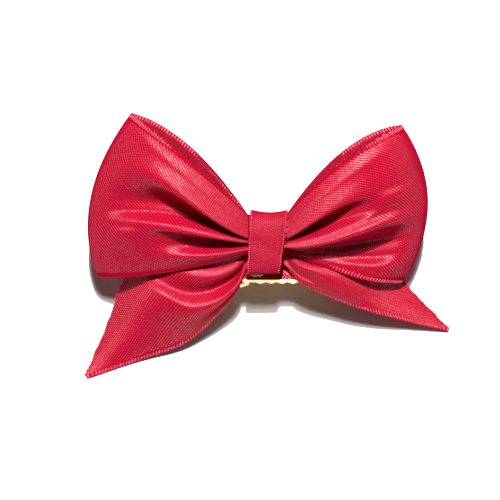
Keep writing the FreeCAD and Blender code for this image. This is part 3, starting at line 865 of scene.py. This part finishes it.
GATHER_HALF = 4.4  # half length of the gathered bundle inside it
GATHER_WAIST, GATHER_BULGE = 0.8, 0.15  # how far inside the band it lies, at the thread and beyond
WAIST_HALF, WAIST_RUN = 1.1, 0.9  # half length of its waist, and how fast it widens
PLEATS, PLEAT_SHALLOW, PLEAT_EXTRA = 22, 0.08, 0.3  # round the bundle; deeper at its ends
PLEATS_DEEPEN, PLEATS_RUN = 3.2, 0.8
GATHER_ROWS = 33

YARN_INSET, YARN_RADIUS, PLY_OFFSET = 0.75, 0.11, 0.09
YARN_TURNS, YARN_PITCH, YARN_TWISTS = 4, 0.5, 40


def band_section():
    """Points round the band's outline, as (v, n)."""
    return catmull(BAND_SECTION, SECTION_POINTS, closed=True)[:-1]


def section_outward(section):
    step = np.roll(section, -1, axis=0) - np.roll(section, 1, axis=0)
    outward = np.stack([step[:, 1], -step[:, 0]], axis=1)
    return outward / np.linalg.norm(outward, axis=1, keepdims=True)


def band_swell(v, across):
    """How far the band stands out in its middle: it sinks a little over the knot's top."""
    swell = (SWELL - SINK * ease((v - SINK_START) / SINK_RUN)) * (1 - across**2)
    return swell + waves(SWELL_WAVE, v, across)


def band_reach(v, n):
    """Where the band's middle lies along x, and its half width: it leans and widens upwards."""
    return BAND_OFFSET + BAND_LEAN * v, BAND_HALF + BAND_WIDENS * v + waves(BAND_WAVER, v, n)


def build_band(cloth, bars, loose):
    section = band_section()
    t = side_columns(BAND_WIDTH)
    v, n = section[:, :1], section[:, 1:]
    across = 2 * t[None, :] - 1
    centre, half = band_reach(v, n)
    x = centre + across * half
    swell = band_swell(v, across)
    outward = section_outward(section)
    grid = bow(x, v + outward[:, :1] * swell, n + outward[:, 1:] * swell)
    piece = ribbon("band_satin", grid, t, BAND_WIDTH, cloth, wrap=True, edge=BAND_EDGE)
    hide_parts("centre_band")
    selvedge("band_selvedge", grid, bars, reach=BAND_EDGE, pitch=BAND_BARS)
    threads = []
    for _ in range(LOOSE_THREADS):
        spot = bow(4.3 + 0.1 * rng.random(), 1.5 + 3.6 * rng.random(), 4.5)
        way = RIGHT + 0.25 * rng.standard_normal(3)
        threads.append(fibre(spot, way, 0.5 + 0.4 * rng.random(), 0.3 * UP - 0.6 * OUT * rng.random()))
    make_object("band_loose_threads", *merge(threads), loose, "bow", "thread")


def build_gather(cloth):
    """The ribbons' squeezed middle inside the band: a pleated bundle with rounded ends."""
    section = band_section()
    outward = section_outward(section)
    turn = np.linspace(0, 2 * math.pi, len(section), endpoint=False)
    pleats = 0.5 + 0.5 * np.cos(PLEATS * turn + 1.5 * np.sin(3 * turn))
    middle = section.mean(axis=0)
    centre, half = band_reach(section[:, 0], section[:, 1])
    ends = np.sin(np.linspace(-math.pi / 2, math.pi / 2, GATHER_ROWS))
    rows = []
    for f in ends:
        x = GATHER_HALF * f
        depth = PLEAT_SHALLOW + PLEAT_EXTRA * ease((abs(x) - PLEATS_DEEPEN) / PLEATS_RUN)
        inset = GATHER_WAIST - (GATHER_WAIST - GATHER_BULGE) * ease((abs(x) - WAIST_HALF) / WAIST_RUN)
        inset = inset + depth * pleats
        swell = band_swell(section[:, 0], np.clip((x - centre) / half, -1, 1))
        spots = section + outward * (swell - inset)[:, None]
        spots = middle + (spots - middle) * max((1 - abs(f) ** 8) ** 0.5, 0.02)
        rows.append(bow(np.full(len(spots), x), spots[:, 0], spots[:, 1]))
    rows = np.array(rows)
    faces = ring_faces(*rows.shape[:2])
    along = np.broadcast_to((GATHER_HALF * ends)[:, None], rows.shape[:2])
    around = np.broadcast_to(lengths(section[:, None]).T, rows.shape[:2])
    weave = np.stack([along, 3.0 + around * 0.1, np.zeros_like(along)], axis=-1)
    make_object("knot_gather", rows.reshape(-1, 3), faces, cloth, "bow", "satin", weave.reshape(-1, 3))


def build_thread(material):
    """Turns of two-ply thread round the gathered ribbons, under the band."""
    section = band_section()
    inner = section - section_outward(section) * YARN_INSET
    turn = np.linspace(0, 2 * math.pi, len(inner), endpoint=False)
    parts = []
    for k in range(YARN_TURNS):
        for ply in (0, math.pi):
            twist = YARN_TWISTS * turn + ply
            x = (k - (YARN_TURNS - 1) / 2) * YARN_PITCH + PLY_OFFSET * np.cos(twist)
            middle = inner + section_outward(section) * (PLY_OFFSET * np.sin(twist))[:, None]
            parts.append(tube(bow(x, middle[:, 0], middle[:, 1]), YARN_RADIUS, 6, closed=True))
    piece = make_object("binding_yarn", *merge(parts), material, "bow", "thread")
    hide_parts("binding_thread")


# ---- lining, glue, spring and metal ------------
LINING_WIDTH, LINING_EDGE = 9.6, 0.9
LINING_GAPS = (0.4, 3.0)  # it ends this far inside its CAD strip: at the lever, at the nose
LINING_ROWS = 160
LINING_TAPER, TAPER_START, TAPER_RUN = 0.28, -10.0, 20.0  # it narrows towards the lever
LINING_WAVE = ((0.02, 0.8, 3.0, 0.0),)
GLUE_SQUARE = 0.55  # below 1, the glue's ball is squarer
GLUE_HALF_X, GLUE_HALF_Y, GLUE_BACK = 3.7, 3.3, 3.0  # the wedge's half sizes, and how far in front it lies
BAND_BACK_N = 2.9  # the band's back stands this far behind the knot's middle
BEAD_X, BEAD_Y, BEAD_Z = -2.7, -6.7, 0.15  # the bead in front: x, y from the knot, z from the lining
BEAD_HALVES = (2.0, 0.55, 0.3)
PIVOT = np.array([-7.0, 0.0, 0.0])
COIL_RADIUS, WIRE, TURNS, COIL_LENGTH = 1.15, 0.22, 5, 3.0
LEG, UPPER_LEG, LOWER_LEG = 8.0, math.radians(5.6), math.radians(20.0)
TURN_POINTS, LEG_POINTS, WIRE_SIDES = 40, 16, 10


def build_lining(cloth, bars):
    low, high = (np.array(corner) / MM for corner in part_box("clip_lining"))
    t = side_columns(LINING_WIDTH)
    x = np.linspace(low[0] + LINING_GAPS[0], high[0] - LINING_GAPS[1], LINING_ROWS)[:, None]
    taper = 1 - LINING_TAPER * ease((TAPER_START - x) / TAPER_RUN)
    y = (low[1] + high[1]) / 2 + (t[None, :] - 0.5) * LINING_WIDTH * taper
    z = (low[2] + high[2]) / 2 + waves(LINING_WAVE, x, t[None, :])
    grid = np.stack(np.broadcast_arrays(x, y, z), axis=-1)
    piece = ribbon("lining_satin", grid, t, LINING_WIDTH, cloth)
    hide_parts("clip_lining")
    selvedge("lining_selvedge", grid, bars, reach=LINING_EDGE)


def build_glue(material):
    """Set glue between the band's back and the lining, with a thin bead squeezed out in front."""
    ball, faces = unit_ball(28, 18)
    rounded = np.sign(ball) * np.abs(ball) ** GLUE_SQUARE
    floor = np.array(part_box("clip_lining")[1])[2] / MM
    y = KNOT[1] - GLUE_BACK + GLUE_HALF_Y * rounded[:, 1] + 0.15 * np.sin(6 * ball[:, 0])
    top = KNOT[2] + (y - KNOT[1] - BAND_BACK_N * math.sin(LEAN)) * math.tan(LEAN)
    top = top - BAND_BACK_N * math.cos(LEAN)
    top = np.maximum(top, floor + 0.25)
    z = floor + 0.08 + (top - floor - 0.1) * (0.5 + 0.5 * rounded[:, 2])
    wedge = np.stack([GLUE_HALF_X * rounded[:, 0] + 0.2 * np.sin(3 * y), y, z], axis=1)
    half_x, half_y, half_z = BEAD_HALVES
    bead_y = KNOT[1] + BEAD_Y + half_y * ball[:, 1] + 0.1 * np.sin(9 * ball[:, 0])
    bead = np.stack([BEAD_X + half_x * ball[:, 0], bead_y, floor + BEAD_Z + half_z * ball[:, 2]], axis=1)
    piece = make_object("glue_set", *merge([(wedge, faces), (bead, faces)]), material, "bow", "hot_glue")
    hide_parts("glue")


def build_spring(material):
    """The torsion spring: one leg under the upper lever, the other on the lower, a coil between."""
    start = math.pi / 2 - UPPER_LEG
    turn = -(start + math.pi / 2 - LOWER_LEG + 2 * math.pi * (TURNS - 1))
    f = np.linspace(0, 1, TURNS * TURN_POINTS + 1)
    angle = start + turn * f
    coil = PIVOT + np.stack([COIL_RADIUS * np.cos(angle), COIL_LENGTH * (f - 0.5),
                             COIL_RADIUS * np.sin(angle)], axis=1)
    reach = np.linspace(LEG, LEG / LEG_POINTS, LEG_POINTS)[:, None]
    upper = coil[0] + reach * np.array([-math.cos(UPPER_LEG), 0, math.sin(UPPER_LEG)])
    lower = coil[-1] + reach[::-1] * np.array([-math.cos(LOWER_LEG), 0, -math.sin(LOWER_LEG)])
    wire = tube(np.concatenate([upper, coil, lower]), WIRE, WIRE_SIDES)
    piece = make_object("spring_wire", *wire, material, None, "spring_steel")
    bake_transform(piece)
    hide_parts("torsion_spring")


def assign(names, material):
    """Give CAD nodes that stay visible their finished material."""
    for name in names:
        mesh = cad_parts[name].data
        mesh.materials.clear()
        mesh.materials.append(material)
        mesh.polygons.foreach_set("material_index", [0] * len(mesh.polygons))


# ---- stage -------------------------------------
FLOOR_HALF = 0.32  # metres
LIGHTS = {  # place from the knot and size in metres, power in watts
    "key": ((0.02, 0.20, 1.0), 0.04, 23.5),
    "key_soft": ((0.02, 0.10, 1.0), 0.12, 5.0),
}
FILL, BACKDROP = 0.08, 0.95  # the studio's light on the model, and its look behind it

VIEW_ELEVATION = 70.0
VIEW_WIDTH = 122.5  # millimetres across the picture at the knot
VIEW_DISTANCE = 450.0
VIEW_SHIFT = (-4.2, -2.2)  # the picture's middle from the knot: right and up
SENSOR = 36.0
NEAREST = 0.01  # metres


def aim(obj, target):
    obj.rotation_euler = (Vector(target) - obj.location).to_track_quat("-Z", "Y").to_euler()


def build_floor():
    mesh = bpy.data.meshes.new("floor")
    s, z = FLOOR_HALF, TABLE * MM
    mesh.from_pydata([(-s, -s, z), (s, -s, z), (s, s, z), (-s, s, z)], [], [(0, 1, 2, 3)])
    mesh.materials.append(plain_floor())
    floor = bpy.data.objects.new("floor", mesh)
    bpy.context.collection.objects.link(floor)


def build_lights():
    knot = KNOT * MM
    for name, (offset, size, energy) in LIGHTS.items():
        data = bpy.data.lights.new(name, "AREA")
        data.shape = "DISK"
        data.size = size
        data.energy = energy
        obj = bpy.data.objects.new(name, data)
        obj.location = knot + np.array(offset)
        aim(obj, knot)
        bpy.context.collection.objects.link(obj)


def build_studio():
    """A white surround that the camera sees bright, but that lights the model only a little."""
    world = bpy.data.worlds.new("studio")
    world.use_nodes = True
    tree = world.node_tree
    background = tree.nodes["Background"]
    background.inputs["Color"].default_value = (1, 1, 1, 1)
    seen = tree.nodes.new("ShaderNodeLightPath").outputs["Is Camera Ray"]
    strength = tree.nodes.new("ShaderNodeMapRange")
    tree.links.new(seen, strength.inputs["Value"])
    strength.inputs["To Min"].default_value = FILL
    strength.inputs["To Max"].default_value = BACKDROP
    tree.links.new(strength.outputs[0], background.inputs["Strength"])
    bpy.context.scene.world = world
    bpy.context.scene.view_settings.view_transform = "Standard"


def build_camera():
    e = math.radians(VIEW_ELEVATION)
    back = np.array([0.0, -math.cos(e), math.sin(e)])
    up = np.array([0.0, math.sin(e), math.cos(e)])
    target = KNOT + RIGHT * VIEW_SHIFT[0] + up * VIEW_SHIFT[1]
    data = bpy.data.cameras.new("camera")
    data.sensor_width = SENSOR
    data.lens = SENSOR * VIEW_DISTANCE / VIEW_WIDTH
    data.clip_start = NEAREST
    camera = bpy.data.objects.new("camera", data)
    camera.location = (target + back * VIEW_DISTANCE) * MM
    aim(camera, target * MM)
    bpy.context.collection.objects.link(camera)
    bpy.context.scene.camera = camera


# ---- build: this order keeps the random draws the same ----
satin_wide = satin("satin_wide", RIBBON_WIDTH)
satin_tail = satin("satin_tail", TAIL_WIDTH, lines_angle=180 - TWILL_ANGLE, hem=TAIL_HEM)
satin_band = satin("satin_band", BAND_WIDTH, BAND_ANGLE, BAND_TWILL, BAND_EDGE, lustre=BAND_LUSTRE,
                   tone=BAND_SHADE_TONE)
satin_lining = satin("satin_lining", LINING_WIDTH, edge_width=LINING_EDGE)
bars = thread("selvedge_thread", BAR_SHEEN_PALE, BAR_DARK)
loose = thread("loose_thread", LOOSE_PALE, LOOSE_DARK)
build_loops(satin_wide, bars)
build_tails(satin_tail, bars, loose)
build_band(satin_band, bars, loose)
build_gather(satin_band)
build_thread(thread("binding_thread_yarn", YARN_PALE, YARN_DARK))
build_lining(satin_lining, bars)
build_glue(hot_glue())
build_spring(metal("spring_wire_steel", SPRING_STEEL))
assign(["upper_jaw", "lower_jaw", "pivot_pin"], metal("pale_gold", PALE_GOLD))
build_floor()
build_lights()
build_studio()
build_camera()
